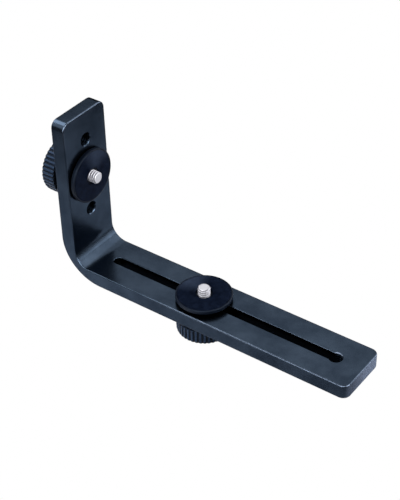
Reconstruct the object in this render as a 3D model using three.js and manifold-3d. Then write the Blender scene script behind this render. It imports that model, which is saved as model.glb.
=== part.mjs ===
// An L-shaped bracket that carries a camera on its long arm and a light or viewer on its upright.
// The bar is flat black-anodised aluminium, bent once. A captive thumbscrew slides along the slot in
// the long arm, and a second one sits in the middle of three tapped holes in the upright. Each
// thumbscrew is a ribbed knob moulded round a steel stud, a friction washer between the knob and the
// bar, and a lock disc with a rubber facing that runs on the stud's thread.
// Millimetres, +Z up, +X along the long arm away from the upright.

import * as THREE from 'three';
import { mergeVertices } from 'three/addons/utils/BufferGeometryUtils.js';
import Module from 'manifold-3d';

// ---- Driving dimensions ------------------------------------------------------------------------

const barWidth = 30;
const barThickness = 7.65;
const armLength = 164.7; // outer face of the upright to the end of the long arm
const uprightHeight = 88.9; // underside of the long arm to the top of the upright
const outerBendRadius = 22; // larger than thickness + inner radius: the bar thins at the bend
const innerBendRadius = 8.5;
const cornerRadius = 4; // corners of both free ends, seen square to the plate
const edgeBreak = 0.5; // every long edge is broken by this much

const slotWidth = 5.1;
const slotStart = 20.7; // end of the slot next to the bend
const keyholeX = 150; // tapped hole at the far end of the slot, where the thumbscrew goes in
const holePitch = 20;
const middleHoleZ = 54;
const tappedRadius = 2.76; // pitch radius of a 1/4"-20 thread
const mouthRadius = 3.6; // countersink of each tapped hole

const slotScrewX = 76; // where the slot thumbscrew stands at rest
const uprightScrewPlay = 0.9; // how far the upright thumbscrew stands out from its pushed-in place

// Thumbscrew, along its axis: 0 is the bar's clamp face, + is towards the tip.
const knobRadius = 14;
const knobOuterFace = -9.9;
const knobRimFace = -2; // inner end of the ribbed rim
const knobHubRadius = 8.5;
const knobEdgeRadius = 1;
const knobDishRadius = 10.5;
const knobDishDepth = 1.2;
const ribCount = 40;
const ribDepth = 0.5;
const ribCrestHalf = 0.22; // half a rib's flat top, as a share of the rib pitch
const ribRootHalf = 0.4; // half a rib's foot, as a share of the rib pitch

const washerThickness = 0.8;
const washerRadius = 8.4;
const washerBoreRadius = 3.3; // passes over the thread, so it is loose on the neck
const washerGap = 0.1; // clearance on each face of the washer

const threadRadius = 3.1; // 1/4"-20, just under its nominal 3.175
const neckRadius = 2.4; // undercut below the thread, so the screw is captive
const neckEnd = 9; // where the thread begins
const tipHeight = 14.8;
const tipChamfer = 0.6;
const headAcrossFlats = 11.1; // 7/16" hexagon moulded into the knob
const headBottom = -7.8;
const headTop = -3.8;
const mouldGap = 0.05; // between the steel head and the plastic round it

const discRadius = 14;
const discBottom = 9.1;
const discWebTop = 10.5;
const discLipTop = 11.2;
const discLipWidth = 0.8;
const discEdgeBreak = 0.35;
const discBoreRadius = 3.2;
const padTop = 11.3;
const padGap = 0.05; // glue line under and round the rubber facing
const padBoreRadius = 4;

// ---- Fineness of curves ------------------------------------------------------------------------

const turnedSegments = 48; // round a whole washer, disc or facing
const shankSegments = 40; // round the stud and its bore
const holeSegments = 32; // round a tapped hole
const bendSegments = 20; // along each arc of the bend
const cornerSegments = 12; // along each rounded corner and half round a slot end
const knobEdgeSteps = 3; // over the rounded outer edge of the knob
const weldDistance = 1e-4; // points closer than this are one point

// ---- Materials ---------------------------------------------------------------------------------

function finish(color, roughness, metalness) {
  return new THREE.MeshStandardMaterial({ color, roughness, metalness });
}

const anodisedBlack = finish(0x2b333f, 0.42, 0.6);
const mouldedBlack = finish(0x1b2030, 0.5, 0);
const platedSteel = finish(0xd4d4dc, 0.25, 1);
const blackNylon = finish(0x14161c, 0.6, 0);
const blackRubber = finish(0x15171f, 0.8, 0);

// ---- Solid helpers -----------------------------------------------------------------------------

const wasm = await Module();
wasm.setup();

const overrun = 1; // how far a cutter runs past the faces it cuts

// A closed three.js geometry as a solid that can be joined and cut.
function solidOf(geometry) {
  const bare = geometry.clone();
  bare.deleteAttribute('normal');
  bare.deleteAttribute('uv');
  const welded = mergeVertices(bare, weldDistance);
  const vertProperties = welded.attributes.position.array;
  const triVerts = Uint32Array.from(welded.index.array);
  return new wasm.Manifold(new wasm.Mesh({ numProp: 3, vertProperties, triVerts }));
}

function geometryOf(solid) {
  const mesh = solid.getMesh();
  const geometry = new THREE.BufferGeometry();
  geometry.setAttribute('position', new THREE.BufferAttribute(mesh.vertProperties, 3));
  geometry.setIndex(new THREE.BufferAttribute(mesh.triVerts, 1));
  geometry.computeVertexNormals();
  return geometry;
}

// A body turned about Z from [radius, height] points that start and end on the axis or form a ring.
function turned(points, segments = turnedSegments) {
  const outline = points.map(([radius, height]) => new THREE.Vector2(radius, height));
  return new THREE.LatheGeometry(outline, segments).rotateX(Math.PI / 2);
}

// A ring turned about Z: its outline is closed back on its first point.
function turnedRing(points) {
  return turned([...points, points[0]]);
}

function prism(shape, bottom, top) {
  const options = { depth: top - bottom, bevelEnabled: false, curveSegments: cornerSegments };
  return new THREE.ExtrudeGeometry(shape, options).translate(0, 0, bottom);
}

function named(name, geometry, material) {
  const mesh = new THREE.Mesh(geometry, material);
  mesh.name = name;
  return mesh;
}

// ---- Bar ---------------------------------------------------------------------------------------

// The bent bar seen from the side, x along the long arm and y up the upright.
function barSideOutline() {
  const innerCentre = barThickness + innerBendRadius;
  const shape = new THREE.Shape();
  shape.moveTo(armLength - edgeBreak, 0);
  shape.lineTo(armLength, edgeBreak);
  shape.lineTo(armLength, barThickness - edgeBreak);
  shape.lineTo(armLength - edgeBreak, barThickness);
  shape.absarc(innerCentre, innerCentre, innerBendRadius, 1.5 * Math.PI, Math.PI, true);
  shape.lineTo(barThickness, uprightHeight - edgeBreak);
  shape.lineTo(barThickness - edgeBreak, uprightHeight);
  shape.lineTo(edgeBreak, uprightHeight);
  shape.lineTo(0, uprightHeight - edgeBreak);
  shape.absarc(outerBendRadius, outerBendRadius, outerBendRadius, Math.PI, 1.5 * Math.PI, false);
  return shape;
}

// The side outline drawn out to the bar's width, with its long edges broken.
function bentBlank() {
  const options = {
    depth: barWidth - 2 * edgeBreak,
    bevelEnabled: true,
    bevelThickness: edgeBreak,
    bevelSize: edgeBreak,
    bevelOffset: -edgeBreak,
    bevelSegments: 1,
    curveSegments: bendSegments,
  };
  const blank = new THREE.ExtrudeGeometry(barSideOutline(), options);
  return blank.rotateX(Math.PI / 2).translate(0, barWidth / 2 - edgeBreak, 0);
}

// What lies outside one rounded corner at the end of a plate that runs out to x = length. It reaches
// past the plate above and below, so that it can be turned over for the other side.
function cornerCutter(length) {
  const half = barWidth / 2;
  const arcX = length - cornerRadius;
  const arcY = half - cornerRadius;
  const shape = new THREE.Shape();
  shape.moveTo(length + overrun, arcY);
  shape.lineTo(length + overrun, half + overrun);
  shape.lineTo(arcX, half + overrun);
  shape.lineTo(arcX, half);
  shape.absarc(arcX, arcY, cornerRadius, Math.PI / 2, 0, true);
  const reach = barThickness + overrun;
  return prism(shape, -reach, reach);
}

function slotCutter() {
  const half = slotWidth / 2;
  const shape = new THREE.Shape();
  shape.moveTo(keyholeX, -half);
  shape.lineTo(keyholeX, half);
  shape.absarc(slotStart + half, 0, half, Math.PI / 2, 1.5 * Math.PI, false);
  return prism(shape, -overrun, barThickness + overrun);
}

// A tapped hole through the bar along Z, countersunk at both faces.
function tappedHoleCutter() {
  const sinkDepth = mouthRadius - tappedRadius;
  return turned([
    [0, -overrun],
    [mouthRadius + overrun, -overrun],
    [tappedRadius, sinkDepth],
    [tappedRadius, barThickness - sinkDepth],
    [mouthRadius + overrun, barThickness + overrun],
    [0, barThickness + overrun],
  ], holeSegments);
}

function bracketBar() {
  let bar = solidOf(bentBlank());
  for (const side of [0, Math.PI]) {
    bar = bar.subtract(solidOf(cornerCutter(armLength).rotateX(side)));
    bar = bar.subtract(solidOf(cornerCutter(uprightHeight).rotateX(side).rotateY(-Math.PI / 2)));
  }
  bar = bar.subtract(solidOf(slotCutter()));
  bar = bar.subtract(solidOf(tappedHoleCutter().translate(keyholeX, 0, 0)));
  for (const step of [-1, 0, 1]) {
    const hole = tappedHoleCutter().rotateY(Math.PI / 2);
    bar = bar.subtract(solidOf(hole.translate(0, 0, middleHoleZ + step * holePitch)));
  }
  return named('bracket_bar', geometryOf(bar), anodisedBlack);
}

// ---- Thumbscrew --------------------------------------------------------------------------------

const hubFace = -washerThickness - 2 * washerGap;
const headCornerRadius = headAcrossFlats / Math.sqrt(3);

// The knob's outline seen along its axis: flat-topped ribs round the rim.
function ribbedOutline() {
  const pitch = (2 * Math.PI) / ribCount;
  const crest = knobRadius;
  const root = knobRadius - ribDepth;
  const corners = [
    [-ribRootHalf, root],
    [-ribCrestHalf, crest],
    [ribCrestHalf, crest],
    [ribRootHalf, root],
  ];
  const points = [];
  for (let rib = 0; rib < ribCount; rib += 1) {
    for (const [turn, radius] of corners) {
      const angle = (rib + turn) * pitch;
      points.push(new THREE.Vector2(radius * Math.cos(angle), radius * Math.sin(angle)));
    }
  }
  return new THREE.Shape(points);
}

// The knob turned on its axis: dished outer face, rounded rim edges and a hub towards the bar.
function knobTurnedBody() {
  const outline = [[0, knobOuterFace + knobDishDepth]];
  outline.push([knobDishRadius - knobDishDepth, knobOuterFace + knobDishDepth]);
  outline.push([knobDishRadius, knobOuterFace]);
  for (let step = 0; step <= knobEdgeSteps; step += 1) {
    const angle = (step / knobEdgeSteps) * (Math.PI / 2);
    const radius = knobRadius - knobEdgeRadius * (1 - Math.sin(angle));
    outline.push([radius, knobOuterFace + knobEdgeRadius * (1 - Math.cos(angle))]);
  }
  const innerBreak = knobEdgeRadius / 2;
  outline.push([knobRadius, knobRimFace - innerBreak]);
  outline.push([knobRadius - innerBreak, knobRimFace]);
  outline.push([knobHubRadius, knobRimFace]);
  outline.push([knobHubRadius, hubFace]);
  outline.push([0, hubFace]);
  return turned(outline, ribCount);
}

// The steel head and neck that the knob is moulded round, grown by a gap on every side.
function headShape(gap) {
  const height = headTop - headBottom + 2 * gap;
  const prismRadius = headCornerRadius + gap;
  const hexagon = new THREE.CylinderGeometry(prismRadius, prismRadius, height, 6);
  return hexagon.rotateX(Math.PI / 2).translate(0, 0, (headTop + headBottom) / 2);
}

function neckCutter() {
  const radius = neckRadius + mouldGap;
  const bottom = (headTop + headBottom) / 2;
  return turned([[0, bottom], [radius, bottom], [radius, overrun], [0, overrun]], shankSegments);
}

function knob(name) {
  const ribs = solidOf(prism(ribbedOutline(), knobOuterFace - overrun, overrun));
  let body = solidOf(knobTurnedBody()).intersect(ribs);
  body = body.subtract(solidOf(headShape(mouldGap)));
  body = body.subtract(solidOf(neckCutter()));
  return named(`${name}_knob`, geometryOf(body), mouldedBlack);
}

// Hexagon head, undercut neck and thread, the thread as its plain outer cylinder.
function stud(name) {
  const headMiddle = (headTop + headBottom) / 2;
  const shoulder = threadRadius - neckRadius;
  const shank = turned([
    [0, headMiddle],
    [neckRadius, headMiddle],
    [neckRadius, neckEnd],
    [threadRadius, neckEnd + shoulder],
    [threadRadius, tipHeight - tipChamfer],
    [threadRadius - tipChamfer, tipHeight],
    [0, tipHeight],
  ], shankSegments);
  const body = solidOf(headShape(0)).add(solidOf(shank));
  return named(`${name}_stud`, geometryOf(body), platedSteel);
}

function frictionWasher(name) {
  const top = -washerGap;
  const bottom = top - washerThickness;
  const ring = turnedRing([
    [washerBoreRadius, bottom],
    [washerRadius, bottom],
    [washerRadius, top],
    [washerBoreRadius, top],
  ]);
  return named(`${name}_friction_washer`, ring, blackNylon);
}

// A shallow cup with a threaded bore: a web under the rubber facing and a lip round it.
function lockDisc(name) {
  const lipInner = discRadius - discLipWidth;
  const ring = turnedRing([
    [discBoreRadius, discBottom],
    [discRadius - discEdgeBreak, discBottom],
    [discRadius, discBottom + discEdgeBreak],
    [discRadius, discLipTop - discEdgeBreak],
    [discRadius - discEdgeBreak, discLipTop],
    [lipInner, discLipTop],
    [lipInner, discWebTop],
    [discBoreRadius, discWebTop],
  ]);
  return named(`${name}_lock_disc`, ring, mouldedBlack);
}

function rubberFacing(name) {
  const bottom = discWebTop + padGap;
  const outer = discRadius - discLipWidth - padGap;
  const ring = turnedRing([
    [padBoreRadius, bottom],
    [outer, bottom],
    [outer, padTop],
    [padBoreRadius, padTop],
  ]);
  return named(`${name}_rubber_facing`, ring, blackRubber);
}

function thumbscrew(name) {
  const screw = new THREE.Group();
  screw.add(knob(name), stud(name), frictionWasher(name), lockDisc(name), rubberFacing(name));
  return screw;
}

// ---- Assembly ----------------------------------------------------------------------------------

const slotScrew = thumbscrew('slot_screw');
slotScrew.position.set(slotScrewX, 0, 0);

const uprightScrew = thumbscrew('upright_screw');
uprightScrew.rotation.y = Math.PI / 2;
uprightScrew.position.set(-uprightScrewPlay, 0, middleHoleZ);

// The origin is under the middle of the whole bracket, level with the slot knob's outer face.
const leastX = knobOuterFace - uprightScrewPlay;
const bracket = new THREE.Group();
bracket.add(bracketBar(), slotScrew, uprightScrew);
bracket.position.set(-(leastX + armLength) / 2, 0, -knobOuterFace);

const part = new THREE.Group();
part.add(bracket);

export default part;
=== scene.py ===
"""Looks for an L-shaped camera bracket with two captive thumbscrews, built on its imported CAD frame.

Shapes are worked out in millimetres and become metres when their mesh is made. The bar is drawn from
the outer corner of its bend: X along the long arm, Z up the upright. A thumbscrew is drawn along its
own axis, Z: 0 is the bar face that its washer presses on, and + is towards the stud's tip.
"""

import math

import bmesh
import bpy
import numpy as np
from mathutils import Matrix, Vector


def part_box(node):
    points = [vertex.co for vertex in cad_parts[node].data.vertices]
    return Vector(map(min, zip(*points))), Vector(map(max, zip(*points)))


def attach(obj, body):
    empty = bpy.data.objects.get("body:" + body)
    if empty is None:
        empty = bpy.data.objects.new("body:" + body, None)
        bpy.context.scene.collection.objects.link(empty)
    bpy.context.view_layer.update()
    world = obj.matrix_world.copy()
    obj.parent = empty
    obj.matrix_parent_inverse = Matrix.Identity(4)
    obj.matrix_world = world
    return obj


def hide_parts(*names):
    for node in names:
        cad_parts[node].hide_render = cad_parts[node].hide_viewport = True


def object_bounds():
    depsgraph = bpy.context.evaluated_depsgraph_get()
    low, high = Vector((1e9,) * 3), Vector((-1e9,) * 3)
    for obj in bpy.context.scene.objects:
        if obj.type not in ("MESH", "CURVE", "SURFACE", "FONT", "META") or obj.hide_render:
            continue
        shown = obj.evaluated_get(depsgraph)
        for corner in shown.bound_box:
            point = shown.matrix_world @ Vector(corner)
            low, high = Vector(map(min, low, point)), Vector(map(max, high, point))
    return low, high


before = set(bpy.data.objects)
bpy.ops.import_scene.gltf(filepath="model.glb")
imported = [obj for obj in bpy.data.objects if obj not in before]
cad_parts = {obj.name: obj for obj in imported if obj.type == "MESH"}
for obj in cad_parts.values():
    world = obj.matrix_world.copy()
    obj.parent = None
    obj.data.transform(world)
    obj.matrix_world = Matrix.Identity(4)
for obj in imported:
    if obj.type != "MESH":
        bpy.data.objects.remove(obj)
cad_low, cad_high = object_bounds()

MM = 0.001
SCREWS = ("slot_screw", "upright_screw")

# ---- Bar ---------------------------------------------------------------------------------------

BAR_THICKNESS = 7.65
OUTER_BEND_RADIUS = 22
INNER_BEND_RADIUS = 8.5
BEND_STEPS = 32
CORNER_RADIUS = 4  # corners of both free ends, seen square to the plate
CORNER_STEPS = 14
EDGE_ROUND = 0.6
EDGE_SEGMENTS = 4
EDGE_SLOT = 1  # the material slot that marks a rounded edge until mark_faces reads it
ROUND_ABOVE = math.radians(40)  # edges that turn by more than this are rounded
SLOT_WIDTH = 5.1
SLOT_START = 20.7
SLOT_EDGE_ROUND = 0.35
SLOT_EDGE_TURN = math.radians(80)  # how far the rounded edge of the slot turns
SLOT_EDGE_STEPS = 4
SLOT_END_STEPS = 16
KEYHOLE_X = 150
HOLE_PITCH = 20
HOLE_MOUTH_RADIUS = 3.6  # countersink of each tapped hole
HOLE_AROUND = 56

BORE_LEAN = 0.02  # a face in a bore leans at least this far towards Y
MOUTH_SLOPE = (0.2, 0.95)  # how much a face at a mouth still faces out of the plate
SAWN_FACING = 0.7  # a face of the arm's end is sawn where its normal's X is above this
# paler countersink mouths: partly wear, partly a painted glint
KEYHOLE_WEAR_AND_GLINT = 2  # against 1 on the bar's rounded edges
UPRIGHT_HOLE_WEAR_AND_GLINT = 0.15
SLOT_EDGE_WEAR_AND_GLINT = 0.4

# ---- 1/4"-20 thread ----------------------------------------------------------------------------

THREAD_PITCH = 1.27
TAPPED_MINOR_RADIUS = 2.55
TAPPED_MAJOR_RADIUS = 3.2
STUD_MINOR_RADIUS = 2.42
STUD_MAJOR_RADIUS = 3.1
NARROW_FLAT = 0.125  # share of the pitch: crest of the stud's thread, root of the hole's
WIDE_FLAT = 0.25  # share of the pitch: root of the stud's thread, crest of the hole's
THREAD_STEPS = 14  # rows of faces to a pitch

# ---- Thumbscrew --------------------------------------------------------------------------------

HUB_FACE = -1.0
NECK_RADIUS = 2.4
NECK_END = 9
TIP_HEIGHT = 14.8
TIP_CHAMFER = 0.6
HEAD_BOTTOM = -7.8
HEAD_TOP = -3.8
HEAD_ACROSS_FLATS = 11.1
STUD_AROUND = 72
MOULD_GAP = 0.05

KNOB_RADIUS = 14
KNOB_OUTER_FACE = -9.9
KNOB_RIM_FACE = -2
KNOB_HUB_RADIUS = 8.5
KNOB_EDGE_ROUND = 1.6
KNOB_DISH_RADIUS = 10.5
KNOB_DISH_DEPTH = 1.2
RIB_COUNT = 40
RIB_STEPS = 10
RIB_DEPTH = 0.5
RIB_CREST = 0.3  # share of the pitch that is flat crest
RIB_FLANKS = 0.5  # share of the pitch that slopes down into the groove

DISC_RADIUS = 14
DISC_BOTTOM = 9.1
DISC_WEB_TOP = 10.5
DISC_LIP_TOP = 11.2
DISC_LIP_WIDTH = 0.8
DISC_BORE_RADIUS = 3.2
PAD_TOP = 11.3
PAD_BORE_RADIUS = 4
PAD_GAP = 0.05
DISC_AROUND = 160

WASHER_RADIUS = 8.4
WASHER_BORE_RADIUS = 3.3
WASHER_TOP = -0.1
WASHER_BOTTOM = -0.9
WASHER_AROUND = 96

SMOOTH_BELOW = math.radians(35)  # edges that turn by less than this are shaded smooth
OVERRUN = 1  # how far a cutter runs past the faces it cuts
MERGE_DISTANCE = 1e-4  # points of one outline that are nearer than this are one point
WELD_DISTANCE = 1e-3


# ---- Where things are in the row frame ---------------------------------------------------------

def box_mm(node):
    low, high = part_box(node)
    return low / MM, high / MM


bar_low, bar_high = box_mm("bracket_bar")
BAR_WIDTH = bar_high.y - bar_low.y
ARM_LENGTH = bar_high.x - bar_low.x
UPRIGHT_HEIGHT = bar_high.z - bar_low.z
BAR_PLACE = Matrix.Translation(Vector((bar_low.x, (bar_low.y + bar_high.y) / 2, bar_low.z)) * MM)


def screw_place(screw):
    """The matrix that takes a thumbscrew drawn along Z to its place, from its stud and washer."""
    stud_low, stud_high = box_mm(f"{screw}_stud")
    washer_low, washer_high = box_mm(f"{screw}_friction_washer")
    middle = (stud_low + stud_high) / 2
    if screw == "slot_screw":
        seat = Vector((middle.x, middle.y, washer_high.z - WASHER_TOP))
        return Matrix.Translation(seat * MM)
    seat = Vector((washer_high.x - WASHER_TOP, middle.y, middle.z))
    return Matrix.Translation(seat * MM) @ Matrix.Rotation(math.pi / 2, 4, "Y")


# ---- Mesh helpers ------------------------------------------------------------------------------

def mesh_from(name, points, faces):
    """A closed mesh in millimetres with its faces turned outwards."""
    mesh = bpy.data.meshes.new(name)
    mesh.from_pydata([tuple(p) for p in points], [], faces)
    work = bmesh.new()
    work.from_mesh(mesh)
    bmesh.ops.remove_doubles(work, verts=work.verts, dist=MERGE_DISTANCE)
    bmesh.ops.recalc_face_normals(work, faces=work.faces)
    work.to_mesh(mesh)
    work.free()
    return mesh


def rings_mesh(name, rings, closed=False):
    """The skin over rings, an array of rows by points round by 3, with its ends capped or joined."""
    rows, around = rings.shape[:2]
    index = np.arange(rows * around).reshape(rows, around)
    below = index if closed else index[:-1]
    above = np.roll(index, -1, axis=0) if closed else index[1:]
    corners = [below, np.roll(below, -1, axis=1), np.roll(above, -1, axis=1), above]
    faces = np.stack(corners, axis=-1).reshape(-1, 4).tolist()
    if not closed:
        faces += [index[0].tolist(), index[-1].tolist()]
    return mesh_from(name, rings.reshape(-1, 3), faces)


def prism_mesh(name, outline, low, high):
    """An outline in XY drawn out from z = low to z = high."""
    rings = np.array([[(x, y, z) for x, y in outline] for z in (low, high)], float)
    return rings_mesh(name, rings)


def filleted(corners, steps=5):
    """The closed outline through (x, y, radius) corners, each rounded by its own radius."""
    points = []
    for k, (x, y, radius) in enumerate(corners):
        corner = Vector((x, y))
        if radius == 0:
            points.append(corner)
            continue
        before = (Vector(corners[k - 1][:2]) - corner).normalized()
        after = (Vector(corners[(k + 1) % len(corners)][:2]) - corner).normalized()
        half = before.angle(after) / 2
        centre = corner + (before + after).normalized() * radius / math.sin(half)
        start = corner + before * radius / math.tan(half) - centre
        end = corner + after * radius / math.tan(half) - centre
        for step in range(steps + 1):
            points.append(centre + start.slerp(end, step / steps).normalized() * radius)
    return [(p.x, p.y) for p in points]


def full_turn(around):
    """The angles of points spread round a circle, as one row."""
    return (np.arange(around) * 2 * math.pi / around)[None, :]


def round_rings(radius, angle, height):
    """Rings about Z: radii by row and angle, a row of angles and a column of heights."""
    return np.stack([radius * np.cos(angle), radius * np.sin(angle), height + 0 * angle], axis=-1)


def turned(outline, around, shape=None):
    """Rings about Z from (radius, height) points; shape(radius, angle) may change each radius."""
    radius = np.array([r for r, _ in outline])[:, None]
    height = np.array([z for _, z in outline])[:, None]
    angle = full_turn(around)
    radius = radius + 0 * angle if shape is None else shape(radius, angle)
    return round_rings(radius, angle, height)


def thread_radius(angle, height, crest, root, crest_flat, root_flat):
    """Radius of a right-hand screw thread at an angle and height, both arrays."""
    turns = height / THREAD_PITCH - angle / (2 * math.pi)
    from_crest = np.abs((turns + 0.5) % 1 - 0.5)
    flank = 0.5 - (crest_flat + root_flat) / 2
    return crest + (root - crest) * np.clip((from_crest - crest_flat / 2) / flank, 0, 1)


def object_of(name, mesh):
    made = bpy.data.objects.new(name, mesh)
    bpy.context.scene.collection.objects.link(made)
    return made


def apply_modifiers(target):
    """Makes what the modifiers give into the object's own mesh."""
    bpy.context.view_layer.update()
    depsgraph = bpy.context.evaluated_depsgraph_get()
    mesh = bpy.data.meshes.new_from_object(target.evaluated_get(depsgraph))
    target.modifiers.clear()
    target.data = mesh


def cut(target, *cutters):
    """Takes cutter meshes away from an object, both in millimetres."""
    for mesh in cutters:
        cutter = object_of("cutter", mesh)
        boolean = target.modifiers.new("cut", "BOOLEAN")
        boolean.operation = "DIFFERENCE"
        boolean.solver = "MANIFOLD"
        boolean.object = cutter
        apply_modifiers(target)
        bpy.data.objects.remove(cutter)


def weld(target):
    """Merges points a hair apart, as left by a cut that meets a face exactly."""
    work = bmesh.new()
    work.from_mesh(target.data)
    bmesh.ops.remove_doubles(work, verts=work.verts, dist=WELD_DISTANCE)
    bmesh.ops.dissolve_degenerate(work, dist=WELD_DISTANCE, edges=work.edges)
    work.to_mesh(target.data)
    work.free()


def finish_piece(piece, place, node, body, material):
    """Scales a piece to metres, gives it its material, puts it in place on its body and hides the CAD
    part it stands for.
    """
    mesh = piece.data
    mesh.transform(Matrix.Scale(MM, 4))
    mesh.materials.clear()
    mesh.materials.append(material)
    mesh.shade_smooth()
    mesh.set_sharp_from_angle(angle=SMOOTH_BELOW)
    weighted = piece.modifiers.new("flat faces stay flat", "WEIGHTED_NORMAL")
    weighted.keep_sharp = True
    piece.matrix_world = place
    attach(piece, body)
    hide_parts(node)


# ---- Bar shape ---------------------------------------------------------------------------------

def turn_up(mesh):
    """Turns a cutter drawn on the long arm so that it cuts the upright: x becomes z."""
    mesh.transform(Matrix.Rotation(-math.pi / 2, 4, "Y") @ Matrix.Scale(-1, 4, (0, 0, 1)))
    mesh.flip_normals()
    return mesh


def bent_blank():
    """The bar before its ends are rounded: the side outline drawn out to its width."""
    outline = filleted([
        (ARM_LENGTH, 0, 0),
        (ARM_LENGTH, BAR_THICKNESS, 0),
        (BAR_THICKNESS, BAR_THICKNESS, INNER_BEND_RADIUS),
        (BAR_THICKNESS, UPRIGHT_HEIGHT, 0),
        (0, UPRIGHT_HEIGHT, 0),
        (0, 0, OUTER_BEND_RADIUS),
    ], steps=BEND_STEPS)
    blank = prism_mesh("bar", outline, -BAR_WIDTH / 2, BAR_WIDTH / 2)
    blank.transform(Matrix.Rotation(math.pi / 2, 4, "X"))
    return blank


def corner_cutter(length, side):
    """What lies outside one rounded corner of a plate that runs out to x = length."""
    half = BAR_WIDTH / 2
    inner = half - CORNER_RADIUS
    outline = [(length + OVERRUN, inner), (length + OVERRUN, half + OVERRUN)]
    outline.append((length - CORNER_RADIUS, half + OVERRUN))
    for step in range(CORNER_STEPS + 1):
        angle = math.pi / 2 * (1 - step / CORNER_STEPS)
        x = length - CORNER_RADIUS * (1 - math.cos(angle))
        outline.append((x, inner + CORNER_RADIUS * math.sin(angle)))
    outline = [(x, side * y) for x, y in outline]
    return prism_mesh("corner", outline, -OVERRUN, BAR_THICKNESS + OVERRUN)


def slot_ring(z, half):
    """The slot's outline at height z, half wide each way; its far end stops inside the keyhole."""
    near = SLOT_START + SLOT_WIDTH / 2
    far = KEYHOLE_X - TAPPED_MINOR_RADIUS / 2
    ring = []
    for centre, reach, start in ((far, SLOT_WIDTH / 2, -math.pi / 2), (near, half, math.pi / 2)):
        for step in range(SLOT_END_STEPS + 1):
            angle = start + math.pi * step / SLOT_END_STEPS
            ring.append((centre + reach * math.cos(angle), half * math.sin(angle), z))
    return ring


def slot_cutter():
    """The slot as a stack of round-ended outlines that widen at both faces of the bar."""
    levels = []
    for step in range(SLOT_EDGE_STEPS):
        angle = SLOT_EDGE_TURN * step / (SLOT_EDGE_STEPS - 1)
        grow = SLOT_EDGE_ROUND * (1 - math.cos(angle))
        levels.append((SLOT_EDGE_ROUND * (1 - math.sin(angle)), grow))
    levels.append((-OVERRUN, SLOT_EDGE_ROUND + OVERRUN))
    levels.reverse()
    levels += [(BAR_THICKNESS - z, grow) for z, grow in reversed(levels)]
    rings = [slot_ring(z, SLOT_WIDTH / 2 + grow) for z, grow in levels]
    return rings_mesh("slot", np.array(rings, float))


def tapped_hole_cutter(x):
    """A threaded hole through the plate along Z, countersunk at both faces."""
    rows = round((BAR_THICKNESS + 2 * OVERRUN) / THREAD_PITCH * THREAD_STEPS)
    height = np.linspace(-OVERRUN, BAR_THICKNESS + OVERRUN, rows + 1)[:, None]
    angle = full_turn(HOLE_AROUND)
    minor, major = TAPPED_MINOR_RADIUS, TAPPED_MAJOR_RADIUS
    thread = thread_radius(angle, height, minor, major, WIDE_FLAT, NARROW_FLAT)
    sink = HOLE_MOUTH_RADIUS - np.minimum(height, BAR_THICKNESS - height)
    rings = round_rings(np.maximum(thread, sink), angle, height)
    return rings_mesh("tapped hole", rings + np.array([x, 0, 0]))


def rounded_edges(target):
    """Rounds every sharp edge and marks the new faces, so that the material can make them paler: partly
    wear, partly painted highlight.
    """
    bevel = target.modifiers.new("edges", "BEVEL")
    bevel.width = EDGE_ROUND
    bevel.segments = EDGE_SEGMENTS
    bevel.limit_method = "ANGLE"
    bevel.angle_limit = ROUND_ABOVE
    bevel.use_clamp_overlap = False
    bevel.material = EDGE_SLOT
    apply_modifiers(target)


def in_bore(middle, normal):
    """Whether a face of the bar is inside the slot or a hole, below its mouth."""
    across = middle.z if middle.x > middle.z else middle.x
    depth = min(across, BAR_THICKNESS - across)
    below_mouth = depth > HOLE_MOUTH_RADIUS - TAPPED_MAJOR_RADIUS
    return below_mouth and abs(middle.y) < HOLE_MOUTH_RADIUS and abs(normal.y) > BORE_LEAN


def mouth_wear_and_glint(middle, normal):
    """How pale a face of a countersink or of the slot's rounded edge is, partly wear and partly painted
    glint; 0 on the bar's flat faces.
    """
    on_arm = middle.x > middle.z
    slope = abs(normal.z if on_arm else normal.x)
    in_bend = middle.x < SLOT_START - SLOT_EDGE_ROUND and middle.z < OUTER_BEND_RADIUS
    if in_bend or in_bore(middle, normal) or abs(middle.y) > HOLE_MOUTH_RADIUS:
        return 0
    if not MOUTH_SLOPE[0] < slope < MOUTH_SLOPE[1]:
        return 0
    if not on_arm:
        return UPRIGHT_HOLE_WEAR_AND_GLINT
    return KEYHOLE_WEAR_AND_GLINT if middle.x > KEYHOLE_X - HOLE_MOUTH_RADIUS else SLOT_EDGE_WEAR_AND_GLINT


def mark_faces(mesh):
    """Face attributes for the material: edge where rounded, cut_end where sawn, bore inside holes."""
    marks = ("edge", "cut_end", "bore")
    for mark in marks:
        mesh.attributes.new(mark, "FLOAT", "FACE")
    edge, cut_end, bore = [mesh.attributes[mark].data for mark in marks]
    for face in mesh.polygons:
        middle, normal = face.center, face.normal
        edge[face.index].value = face.material_index or mouth_wear_and_glint(middle, normal)
        if middle.x > ARM_LENGTH - CORNER_RADIUS:
            sawn = (normal.x - SAWN_FACING) / (1 - SAWN_FACING)
            cut_end[face.index].value = min(1, max(0, sawn))
        bore[face.index].value = in_bore(middle, normal)
        face.material_index = 0


def make_bar():
    """The bent blank with its corners cut, edges rounded, and the slot and holes put in."""
    bar = object_of("bracket_bar_finished", bent_blank())
    for side in (-1, 1):
        cut(bar, corner_cutter(ARM_LENGTH, side))
        cut(bar, turn_up(corner_cutter(UPRIGHT_HEIGHT, side)))
    for material in ("flat", "edge"):
        bar.data.materials.append(bpy.data.materials.new(material))
    weld(bar)
    rounded_edges(bar)
    cut(bar, slot_cutter(), tapped_hole_cutter(KEYHOLE_X))
    stud_low, stud_high = box_mm("upright_screw_stud")
    middle_hole = (stud_low.z + stud_high.z) / 2 - bar_low.z
    for step in (-1, 0, 1):
        cut(bar, turn_up(tapped_hole_cutter(middle_hole + step * HOLE_PITCH)))
    mark_faces(bar.data)
    finish_piece(bar, BAR_PLACE, "bracket_bar", "bar", anodised_bar())


# ---- Thumbscrew shapes -------------------------------------------------------------------------

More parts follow.
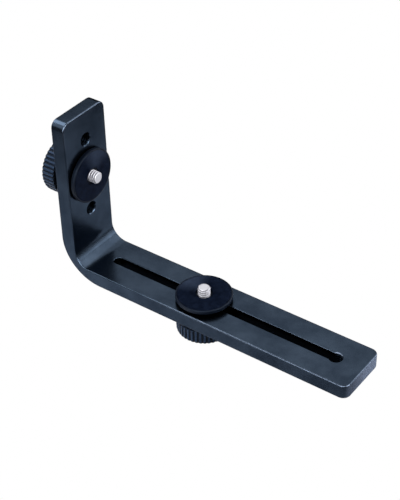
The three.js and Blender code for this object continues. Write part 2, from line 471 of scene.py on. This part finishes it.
def rib_shape(radius, angle):
    """Takes the rim's radius down between ribs, and leaves smaller radii round."""
    turn = np.abs((angle * RIB_COUNT / (2 * math.pi) + 0.5) % 1 - 0.5) * 2
    groove = np.clip((turn - RIB_CREST) / RIB_FLANKS, 0, 1)
    groove = groove * groove * (3 - 2 * groove)
    at_rim = np.clip((radius - (KNOB_RADIUS - KNOB_EDGE_ROUND)) / KNOB_EDGE_ROUND, 0, 1)
    return radius - RIB_DEPTH * groove * at_rim


def make_knob(screw, place):
    """A ribbed knob with a dished outer face, a hub and the cavity of the steel head."""
    head_corner = HEAD_ACROSS_FLATS / math.sqrt(3) + MOULD_GAP
    bore = NECK_RADIUS + MOULD_GAP
    dish_floor = KNOB_OUTER_FACE + KNOB_DISH_DEPTH
    outline = filleted([
        (0, dish_floor, 0),
        (KNOB_DISH_RADIUS - KNOB_DISH_DEPTH, dish_floor, 0.8),
        (KNOB_DISH_RADIUS, KNOB_OUTER_FACE, 0.4),
        (KNOB_RADIUS, KNOB_OUTER_FACE, KNOB_EDGE_ROUND),
        (KNOB_RADIUS, KNOB_RIM_FACE, KNOB_EDGE_ROUND / 3),
        (KNOB_HUB_RADIUS, KNOB_RIM_FACE, 0.4),
        (KNOB_HUB_RADIUS, HUB_FACE, 0.3),
        (bore, HUB_FACE, 0.2),
        (bore, HEAD_TOP + MOULD_GAP, 0),
        (head_corner, HEAD_TOP + MOULD_GAP, 0),
        (head_corner, HEAD_BOTTOM - MOULD_GAP, 0),
        (0, HEAD_BOTTOM - MOULD_GAP, 0),
    ])
    rings = turned(outline, RIB_COUNT * RIB_STEPS, rib_shape)
    knob = object_of(f"{screw}_knob_ribbed", rings_mesh("knob", rings))
    plastic = moulded_plastic(RIB_CREST_HIGHLIGHT)
    finish_piece(knob, place, f"{screw}_knob", screw, plastic)


def make_stud(screw, place):
    """Hexagon head, plain neck and a real helical thread with a chamfered tip."""
    angle = full_turn(STUD_AROUND)
    sixth = math.pi / 3
    hexagon = HEAD_ACROSS_FLATS / 2 / np.cos((angle % sixth) - sixth / 2)
    neck = NECK_RADIUS + 0 * angle
    rows = round((TIP_HEIGHT - NECK_END) / THREAD_PITCH * THREAD_STEPS)
    height = np.linspace(NECK_END, TIP_HEIGHT, rows + 1)[:, None]
    major, minor = STUD_MAJOR_RADIUS, STUD_MINOR_RADIUS
    thread = thread_radius(angle, height, major, minor, NARROW_FLAT, WIDE_FLAT)
    thread = np.minimum(thread, NECK_RADIUS + height - NECK_END)
    thread = np.minimum(thread, major - (height - TIP_HEIGHT + TIP_CHAMFER))
    radius = np.concatenate([hexagon, hexagon, neck, thread])
    levels = np.concatenate([[HEAD_BOTTOM, HEAD_TOP, HEAD_TOP], height[:, 0]])[:, None]
    mesh = rings_mesh("stud", round_rings(radius, angle, levels))
    stud = object_of(f"{screw}_stud_threaded", mesh)
    finish_piece(stud, place, f"{screw}_stud", screw, plated_steel())


def make_washer(screw, place):
    """The loose ring on the neck, between the knob's hub and the bar."""
    outline = filleted([
        (WASHER_BORE_RADIUS, WASHER_BOTTOM, 0.15),
        (WASHER_RADIUS, WASHER_BOTTOM, 0.2),
        (WASHER_RADIUS, WASHER_TOP, 0.2),
        (WASHER_BORE_RADIUS, WASHER_TOP, 0.15),
    ])
    ring = rings_mesh("washer", turned(outline, WASHER_AROUND), closed=True)
    washer = object_of(f"{screw}_friction_washer_ring", ring)
    body = screw.replace("screw", "washer")
    finish_piece(washer, place, f"{screw}_friction_washer", body, nylon())


def make_lock_disc(screw, place):
    """A shallow cup: a web under the rubber facing and a rounded lip round it."""
    lip = DISC_RADIUS - DISC_LIP_WIDTH
    outline = filleted([
        (DISC_BORE_RADIUS, DISC_BOTTOM, 0.2),
        (DISC_RADIUS, DISC_BOTTOM, 0.45),
        (DISC_RADIUS, DISC_LIP_TOP, 0.38),
        (lip, DISC_LIP_TOP, 0.2),
        (lip, DISC_WEB_TOP, 0),
        (DISC_BORE_RADIUS, DISC_WEB_TOP, 0.1),
    ])
    cup = rings_mesh("disc", turned(outline, DISC_AROUND), closed=True)
    disc = object_of(f"{screw}_lock_disc_cup", cup)
    body = screw.replace("screw", "disc")
    plastic = moulded_plastic(DISC_RIM_COLOUR)
    finish_piece(disc, place, f"{screw}_lock_disc", body, plastic)


def make_facing(screw, place):
    """The rubber ring that lies inside the lock disc's lip."""
    outer = DISC_RADIUS - DISC_LIP_WIDTH - PAD_GAP
    bottom = DISC_WEB_TOP + PAD_GAP
    outline = filleted([
        (PAD_BORE_RADIUS, bottom, 0),
        (outer, bottom, 0),
        (outer, PAD_TOP, 0.25),
        (PAD_BORE_RADIUS, PAD_TOP, 0.3),
    ])
    pad = rings_mesh("pad", turned(outline, DISC_AROUND), closed=True)
    facing = object_of(f"{screw}_rubber_facing_pad", pad)
    body = screw.replace("screw", "disc")
    finish_piece(facing, place, f"{screw}_rubber_facing", body, rubber())


# ---- Materials ---------------------------------------------------------------------------------
# Colours and gloss were tuned to one view in the studio below, not measured. The bar is shaded as a
# dark metal. The plastic and rubber are darker and much less glossy than real ones, and tinted blue.

DYE_DARK = (0.0155, 0.023, 0.0352)
DYE_PALE = (0.0265, 0.0378, 0.0552)
# painted shade in the slot and holes
PAINTED_SHADE_IN_BORE = (0.001, 0.0016, 0.0026)
ANODISED_TINT = (0.5, 0.5, 0.5, 1)
# paler rounded edges: partly worn dye, partly a painted highlight along the edges
WORN_EDGE_AND_HIGHLIGHT = (0.068, 0.086, 0.118)
# paler sawn finish, reached in full only at the far side, where it is also a painted highlight
SAWN_END_AND_HIGHLIGHT = (0.155, 0.19, 0.265)
BRUSH_LENGTH = 25  # times the width of a brush mark
WEAR_AND_HIGHLIGHT_ALONG_ARM = (48, 74)  # the bar's own X: where the paler edges, partly wear and partly painted highlight, start, and where they are full
WEAR_AND_HIGHLIGHT_UP_UPRIGHT = (74, 84)  # the same for its Z
PAINTED_HIGHLIGHT_ACROSS_END = (-14, 2)  # the bar's own Y: the sawn end grows paler from here to here, a painted highlight

PLASTIC_DARK = (0.0004, 0.0008, 0.0025)
PLASTIC_PALE = (0.001, 0.0018, 0.0045)
PLASTIC_TINT = (0.5, 0.7, 1.0, 1)
RIB_CREST_HIGHLIGHT = (0.0095, 0.019, 0.039)  # painted highlight on the ribs' tops; the grooves stay darker as painted shade
DISC_RIM_COLOUR = (0.0018, 0.0028, 0.006)
RIB_CREST_DEPTH = RIB_DEPTH * 0.6  # how far in from the ribs' tops the crest colour fades out

RUBBER_DARK = (0.0007, 0.0015, 0.0044)
RUBBER_PALE = (0.0031, 0.0052, 0.0118)
# painted sheen on the rubber facings
RUBBER_PAINTED_SHEEN = (0.0122, 0.0175, 0.0305)
RUBBER_TINT = (0.4, 0.6, 1.0, 1)
PEBBLE_SIZE = 0.35
SHEEN_DIRECTION = (-0.927, 0.375, 0)  # middle of the painted sheen fanning out on each facing
SHEEN_ACROSS = (0.375, 0.927, 0)
SHEEN_FADE = (-1, 9)  # millimetres outwards, less those sideways, over which the painted sheen comes up

STEEL_CREST = (0.29, 0.29, 0.315)
# painted shade in the thread roots
STEEL_ROOT_SHADE = (0.03, 0.028, 0.033)
# painted highlight on the tip
STEEL_TIP_HIGHLIGHT = (0.39, 0.39, 0.415)

NYLON_DARK = (0.008, 0.009, 0.012)
NYLON_PALE = (0.016, 0.017, 0.021)


def add_node(tree, kind, inputs=None, **settings):
    """A shader node; an input may be a value or another node's output socket."""
    made = tree.nodes.new(kind)
    for key, value in settings.items():
        setattr(made, key, value)
    for name, value in (inputs or {}).items():
        if isinstance(value, bpy.types.NodeSocket):
            tree.links.new(value, made.inputs[name])
        else:
            made.inputs[name].default_value = value
    return made


def surface(name, **constants):
    """A new material, its node tree and its shader, with constants set on the shader itself."""
    material = bpy.data.materials.new(name)
    material.use_nodes = True
    tree = material.node_tree
    shader = tree.nodes["Principled BSDF"]
    for socket, value in constants.items():
        shader.inputs[socket.replace("_", " ")].default_value = value
    return material, tree, shader


def millimetres(tree):
    """The object's own coordinates in millimetres."""
    coordinates = add_node(tree, "ShaderNodeTexCoord").outputs["Object"]
    scaled = add_node(tree, "ShaderNodeVectorMath", {0: coordinates}, operation="SCALE")
    scaled.inputs["Scale"].default_value = 1 / MM
    return scaled.outputs["Vector"]


def noise(tree, place, size, detail=3, roughness=0.55):
    """Noise from 0 to 1 whose lumps are about size millimetres."""
    inputs = {"Vector": place, "Scale": 1 / size, "Detail": detail, "Roughness": roughness}
    return add_node(tree, "ShaderNodeTexNoise", inputs).outputs["Fac"]


def ramp(tree, value, low, high, out_low=0, out_high=1):
    """Value from low to high becomes out_low to out_high, clamped."""
    inputs = {"Value": value, "From Min": low, "From Max": high, "To Min": out_low, "To Max": out_high}
    return add_node(tree, "ShaderNodeMapRange", inputs).outputs["Result"]


def blend(tree, share, first, second):
    """Colour first where share is 0, second where it is 1; either may be a socket."""
    inputs = {"Factor": share}
    made = add_node(tree, "ShaderNodeMix", inputs, data_type="RGBA")
    for socket, value in ((made.inputs[6], first), (made.inputs[7], second)):
        if isinstance(value, bpy.types.NodeSocket):
            tree.links.new(value, socket)
        else:
            socket.default_value = (*value, 1)
    return made.outputs[2]


def maths(tree, operation, first, second):
    return add_node(tree, "ShaderNodeMath", {0: first, 1: second}, operation=operation).outputs[0]


def bump(tree, height, depth, under=None):
    """A bump whose full height is depth millimetres, on top of another bump if one is given."""
    inputs = {"Height": height, "Distance": depth * MM, "Strength": 1.0}
    if under is not None:
        inputs["Normal"] = under
    return add_node(tree, "ShaderNodeBump", inputs).outputs["Normal"]


def vector_maths(tree, operation, first, second=(0, 0, 0)):
    """What a vector operation gives: a number for LENGTH and DOT_PRODUCT, otherwise a vector."""
    made = add_node(tree, "ShaderNodeVectorMath", {0: first, 1: second}, operation=operation)
    return made.outputs["Value" if operation in ("LENGTH", "DOT_PRODUCT") else "Vector"]


def from_axis(tree, place):
    """How far a place on a thumbscrew is from its axis."""
    return vector_maths(tree, "LENGTH", vector_maths(tree, "MULTIPLY", place, (1, 1, 0)))


def attribute(tree, name):
    return add_node(tree, "ShaderNodeAttribute", attribute_name=name).outputs["Fac"]


def brushed_place(tree, split):
    """Coordinates drawn out along whichever arm a place is on, so that noise there looks brushed."""
    along = maths(tree, "MAXIMUM", split.outputs["X"], split.outputs["Z"])
    through = maths(tree, "MINIMUM", split.outputs["X"], split.outputs["Z"])
    stretched = maths(tree, "MULTIPLY", along, 1 / BRUSH_LENGTH)
    axes = {"X": stretched, "Y": split.outputs["Y"], "Z": through}
    return add_node(tree, "ShaderNodeCombineXYZ", axes).outputs[0]


def edge_wear_and_highlight(tree, place, split):
    """How much paler the bar's rounded edges are, partly wear and partly painted highlight: patchy, and
    only towards its free ends.
    """
    spots = ramp(tree, noise(tree, place, 1.8, detail=5, roughness=0.7), 0.4, 0.7, 0.35, 0.8)
    towards_end = ramp(tree, split.outputs["X"], *WEAR_AND_HIGHLIGHT_ALONG_ARM)
    towards_top = ramp(tree, split.outputs["Z"], *WEAR_AND_HIGHLIGHT_UP_UPRIGHT)
    handled = maths(tree, "MULTIPLY", spots, maths(tree, "MAXIMUM", towards_end, towards_top))
    return maths(tree, "MULTIPLY", attribute(tree, "edge"), handled)


def anodised_bar():
    """Black anodised aluminium: satin, faintly brushed along the bar, with a paler sawn end.

    The slot and holes are painted near black as painted shade. The sawn end's paling towards its far side
    is a painted highlight. The edges near the free ends are paler, partly wear and partly painted
    highlight.
    """
    material, tree, shader = surface("anodised_bar", Metallic=1.0, Specular_Tint=ANODISED_TINT)
    place = millimetres(tree)
    split = add_node(tree, "ShaderNodeSeparateXYZ", {0: place})
    brushing = noise(tree, brushed_place(tree, split), 0.35, detail=4, roughness=0.7)
    blasting = noise(tree, place, 0.3, detail=2)
    clouds = noise(tree, place, 16, detail=4, roughness=0.6)
    dye_and_bore_shade = blend(tree, ramp(tree, clouds, 0.36, 0.64), DYE_DARK, DYE_PALE)
    # Painted shade: the slot and holes are near black.
    dye_and_bore_shade = blend(tree, attribute(tree, "bore"), dye_and_bore_shade, PAINTED_SHADE_IN_BORE)
    # Paler rounded edges: partly wear, partly painted highlight.
    colour = blend(tree, edge_wear_and_highlight(tree, place, split), dye_and_bore_shade, WORN_EDGE_AND_HIGHLIGHT)
    # The sawn end is a paler finish; its paling towards the far side is a painted highlight.
    painted_highlight_to_far_side = ramp(tree, split.outputs["Y"], *PAINTED_HIGHLIGHT_ACROSS_END, 0.3, 1)
    cut_end = maths(tree, "MULTIPLY", attribute(tree, "cut_end"), painted_highlight_to_far_side)
    colour = blend(tree, cut_end, colour, SAWN_END_AND_HIGHLIGHT)
    tree.links.new(colour, shader.inputs["Base Color"])
    satin = ramp(tree, blasting, 0.2, 0.8, 0.2, 0.27)
    sawn = ramp(tree, blasting, 0.2, 0.8, 0.44, 0.54)
    both = add_node(tree, "ShaderNodeMix", {0: cut_end, 2: satin, 3: sawn})
    tree.links.new(both.outputs[0], shader.inputs["Roughness"])
    normal = bump(tree, brushing, 0.003)
    tree.links.new(bump(tree, blasting, 0.004, normal), shader.inputs["Normal"])
    return material


def moulded_plastic(crest_colour):
    """Black glass-filled nylon with a fine spark-eroded texture; crest_colour is on its outermost rim, a
    painted highlight on the knobs' ribs.
    """
    material, tree, shader = surface(
        "moulded_plastic", Specular_IOR_Level=0.11, Specular_Tint=PLASTIC_TINT
    )
    place = millimetres(tree)
    grain = noise(tree, place, 0.22, detail=3, roughness=0.6)
    flow = noise(tree, place, 5, detail=4, roughness=0.6)
    crest = ramp(tree, from_axis(tree, place), KNOB_RADIUS - RIB_CREST_DEPTH, KNOB_RADIUS)
    colour = blend(tree, ramp(tree, flow, 0.3, 0.7), PLASTIC_DARK, PLASTIC_PALE)
    # On the knobs the crest colour is a painted highlight on the ribs, and the grooves stay darker as
    # painted shade.
    colour = blend(tree, crest, colour, crest_colour)
    tree.links.new(colour, shader.inputs["Base Color"])
    off_crest = ramp(tree, crest, 0, 1, 0.12, 0)
    rough = ramp(tree, grain, 0.25, 0.75, 0.36, 0.48)
    tree.links.new(maths(tree, "ADD", rough, off_crest), shader.inputs["Roughness"])
    tree.links.new(bump(tree, grain, 0.015), shader.inputs["Normal"])
    return material


def rubber():
    """Black rubber with a fine pebble grain, slightly dusty, with one painted sheen fanning out from its
    middle.
    """
    material, tree, shader = surface(
        "rubber_facing", Specular_IOR_Level=0.012, Specular_Tint=RUBBER_TINT
    )
    place = millimetres(tree)
    inputs = {"Vector": place, "Scale": 1 / PEBBLE_SIZE}
    pebbles = add_node(tree, "ShaderNodeTexVoronoi", inputs, feature="SMOOTH_F1").outputs["Distance"]
    dust = noise(tree, place, 2.5, detail=5, roughness=0.65)
    colour = blend(tree, ramp(tree, dust, 0.35, 0.75), RUBBER_DARK, RUBBER_PALE)
    # A painted sheen fanning out from the middle, thinned by the dust.
    outwards = vector_maths(tree, "DOT_PRODUCT", place, SHEEN_DIRECTION)
    sideways = maths(tree, "ABSOLUTE", vector_maths(tree, "DOT_PRODUCT", place, SHEEN_ACROSS), 0)
    painted_sheen = ramp(tree, maths(tree, "SUBTRACT", outwards, sideways), *SHEEN_FADE)
    share = maths(tree, "MULTIPLY", painted_sheen, ramp(tree, dust, 0.25, 0.6, 0.6, 1))
    colour = blend(tree, share, colour, RUBBER_PAINTED_SHEEN)
    tree.links.new(colour, shader.inputs["Base Color"])
    tree.links.new(ramp(tree, dust, 0.3, 0.7, 0.5, 0.62), shader.inputs["Roughness"])
    tree.links.new(bump(tree, pebbles, 0.03), shader.inputs["Normal"])
    return material


def plated_steel():
    """Satin nickel-plated steel, turned round its axis, with painted shade down in the thread and a
    painted highlight at the tip.
    """
    material, tree, shader = surface("plated_steel", Metallic=1.0)
    place = millimetres(tree)
    in_root = ramp(tree, from_axis(tree, place), STUD_MINOR_RADIUS, STUD_MAJOR_RADIUS - 0.2, 1, 0)
    turning = noise(tree, vector_maths(tree, "MULTIPLY", place, (0.2, 0.2, 1)), 0.06, detail=2)
    spots = noise(tree, place, 0.8, detail=4)
    # Painted shade down in the thread roots.
    off_crest = maths(tree, "MULTIPLY", in_root, ramp(tree, spots, 0.3, 0.7, 0.6, 1))
    colour = blend(tree, off_crest, STEEL_CREST, STEEL_ROOT_SHADE)
    height = add_node(tree, "ShaderNodeSeparateXYZ", {0: place}).outputs["Z"]
    # Painted highlight on the tip.
    at_tip = ramp(tree, height, TIP_HEIGHT - TIP_CHAMFER, TIP_HEIGHT)
    colour = blend(tree, at_tip, colour, STEEL_TIP_HIGHLIGHT)
    tree.links.new(colour, shader.inputs["Base Color"])
    tree.links.new(ramp(tree, turning, 0.2, 0.8, 0.5, 0.62), shader.inputs["Roughness"])
    tree.links.new(bump(tree, turning, 0.003), shader.inputs["Normal"])
    return material


def nylon():
    """Black nylon washer, cut from sheet and faintly polished where it rubs."""
    material, tree, shader = surface("nylon_washer", Specular_IOR_Level=0.4)
    place = millimetres(tree)
    rubbed = noise(tree, place, 1.5, detail=4, roughness=0.65)
    colour = blend(tree, ramp(tree, rubbed, 0.3, 0.7), NYLON_DARK, NYLON_PALE)
    tree.links.new(colour, shader.inputs["Base Color"])
    tree.links.new(ramp(tree, rubbed, 0.3, 0.7, 0.34, 0.5), shader.inputs["Roughness"])
    tree.links.new(bump(tree, noise(tree, place, 0.2), 0.008), shader.inputs["Normal"])
    return material


# ---- Studio ------------------------------------------------------------------------------------
# This isn't plain studio light. Fills light only matt surfaces, cards only glossy ones, and the floor's
# colour holds a painted pool of light beside the object, painted dark beyond. They were tuned together
# with the materials to one view.

FLOOR_PALE = (0.78, 0.78, 0.81)
FLOOR_PALER = (0.82, 0.82, 0.85)
FLOOR_FAR = (0.05, 0.05, 0.055)
FLOOR_HALF = 2.5  # metres
SKY = (0.1, 0.1, 0.1)
POOL_CENTRE = (-140, 20, 0)  # millimetres: the middle of the floor's painted pool of light
POOL_OVAL = (0.5, 1, 1)  # longer along X
POOL_RADIUS = 60
POOL_END = 175

LAMP_DISTANCE = 1.3  # metres from the middle of the object
CARD_WIDTH = 0.9
CARD_HEIGHT = 0.7
FILL_SIZE = 1.2

CAMERA_AIM = Vector((-0.52, -3.0, 49.17)) * MM  # near the middle of the object
CAMERA_AZIMUTH = 36.85  # degrees from -Y towards +X
CAMERA_ELEVATION = 37.43
CAMERA_DISTANCE = 614.0 * MM
CAMERA_ROLL = -1.42
CAMERA_LENS = 94.76
SENSOR = 36


def pale_floor():
    """A matt floor with a painted pool of light beside the object and painted dark beyond, that the
    camera sees as white.
    """
    material, tree, shader = surface("pale_floor", Roughness=0.9, Specular_IOR_Level=0.1)
    place = millimetres(tree)
    pale = blend(tree, noise(tree, place, 60, detail=4), FLOOR_PALE, FLOOR_PALER)
    offset = vector_maths(tree, "SUBTRACT", place, POOL_CENTRE)
    distance = vector_maths(tree, "LENGTH", vector_maths(tree, "MULTIPLY", offset, POOL_OVAL))
    # Painted pool of light, fading to painted dark beyond.
    away = ramp(tree, distance, POOL_RADIUS, POOL_END)
    tree.links.new(blend(tree, away, pale, FLOOR_FAR), shader.inputs["Base Color"])
    white = add_node(tree, "ShaderNodeEmission", {"Color": (1, 1, 1, 1)})
    seen = add_node(tree, "ShaderNodeLightPath").outputs["Is Camera Ray"]
    shown = add_node(tree, "ShaderNodeMixShader", {0: seen, 1: shader.outputs[0], 2: white.outputs[0]})
    tree.links.new(shown.outputs[0], tree.nodes["Material Output"].inputs["Surface"])
    return material


def direction(azimuth, elevation):
    """The unit vector towards an azimuth, from -Y towards +X, and an elevation, in degrees."""
    a, e = math.radians(azimuth), math.radians(elevation)
    return Vector((math.sin(a) * math.cos(e), -math.cos(a) * math.cos(e), math.sin(e)))


def aimed(target, aim, azimuth, elevation, distance, roll=0):
    """Stands an object off from a point and turns its -Z axis to it."""
    away = direction(azimuth, elevation)
    turn = (-away).to_track_quat("-Z", "Y").to_matrix().to_4x4()
    turn = turn @ Matrix.Rotation(math.radians(roll), 4, "Z")
    target.matrix_world = Matrix.Translation(aim + away * distance) @ turn


def make_camera():
    data = bpy.data.cameras.new("camera")
    data.lens = CAMERA_LENS
    data.sensor_width = SENSOR
    camera = bpy.data.objects.new("camera", data)
    bpy.context.scene.collection.objects.link(camera)
    aimed(camera, CAMERA_AIM, CAMERA_AZIMUTH, CAMERA_ELEVATION, CAMERA_DISTANCE, CAMERA_ROLL)
    bpy.context.scene.camera = camera


def soft_lamp(name, azimuth, elevation, width, height, power, matt, glossy):
    """A rectangular lamp aimed at the middle of the object, for matt or glossy surfaces or both."""
    data = bpy.data.lights.new(name, "AREA")
    data.shape = "RECTANGLE"
    data.size = width
    data.size_y = height
    data.energy = power
    lamp = bpy.data.objects.new(name, data)
    bpy.context.scene.collection.objects.link(lamp)
    lamp.visible_camera = False
    lamp.visible_glossy = glossy
    lamp.visible_diffuse = matt
    aimed(lamp, (cad_low + cad_high) / 2, azimuth, elevation, LAMP_DISTANCE)


def card(name, azimuth, elevation, power):
    """A softly glowing card that the object only mirrors."""
    soft_lamp(name, azimuth, elevation, CARD_WIDTH, CARD_HEIGHT, power, matt=False, glossy=True)


def fill(name, azimuth, elevation, power):
    """A wide soft light on the floor and on matt surfaces, without a mirror image of its own."""
    soft_lamp(name, azimuth, elevation, FILL_SIZE, FILL_SIZE, power, matt=True, glossy=False)


def make_lamps():
    """Three fills that light matt surfaces, and nine cards that glossy ones mirror."""
    fill("fill_overhead", azimuth=0, elevation=85, power=8)
    fill("fill_front_left", azimuth=-38, elevation=40, power=40)
    fill("fill_right", azimuth=115, elevation=22, power=42)
    card("card_right", azimuth=90, elevation=28, power=31)
    card("card_front_right", azimuth=30, elevation=28, power=24)
    card("card_front_low", azimuth=0, elevation=8, power=22)
    card("card_key", azimuth=-14, elevation=40, power=9)
    card("card_left", azimuth=-60, elevation=28, power=5)
    card("card_left_high", azimuth=-90, elevation=48, power=17)
    card("card_back_left", azimuth=-150, elevation=48, power=3.9)
    card("card_back_right", azimuth=150, elevation=48, power=6.9)
    card("card_back_right_low", azimuth=150, elevation=14, power=13)


def make_world():
    """An even dim sky round the object, which the camera sees as white."""
    world = bpy.data.worlds.new("studio")
    world.use_nodes = True
    bpy.context.scene.world = world
    tree = world.node_tree
    lit = tree.nodes["Background"]
    lit.inputs["Color"].default_value = (*SKY, 1)
    white = add_node(tree, "ShaderNodeBackground", {"Color": (1, 1, 1, 1)})
    seen = add_node(tree, "ShaderNodeLightPath").outputs["Is Camera Ray"]
    shown = add_node(tree, "ShaderNodeMixShader", {0: seen, 1: lit.outputs[0], 2: white.outputs[0]})
    tree.links.new(shown.outputs[0], tree.nodes["World Output"].inputs["Surface"])


def make_floor():
    """A flat floor, level with the lowest point of the CAD."""
    half = FLOOR_HALF
    corners = [(-half, -half, 0), (half, -half, 0), (half, half, 0), (-half, half, 0)]
    mesh = bpy.data.meshes.new("floor")
    mesh.from_pydata(corners, [], [(0, 1, 2, 3)])
    mesh.materials.append(pale_floor())
    floor = object_of("floor", mesh)
    floor.location.z = cad_low.z


# ---- The scene ---------------------------------------------------------------------------------

make_bar()
for screw in SCREWS:
    place = screw_place(screw)
    make_knob(screw, place)
    make_stud(screw, place)
    make_washer(screw, place)
    make_lock_disc(screw, place)
    make_facing(screw, place)

make_floor()
make_world()
make_lamps()
make_camera()
bpy.context.scene.view_settings.view_transform = "Standard"
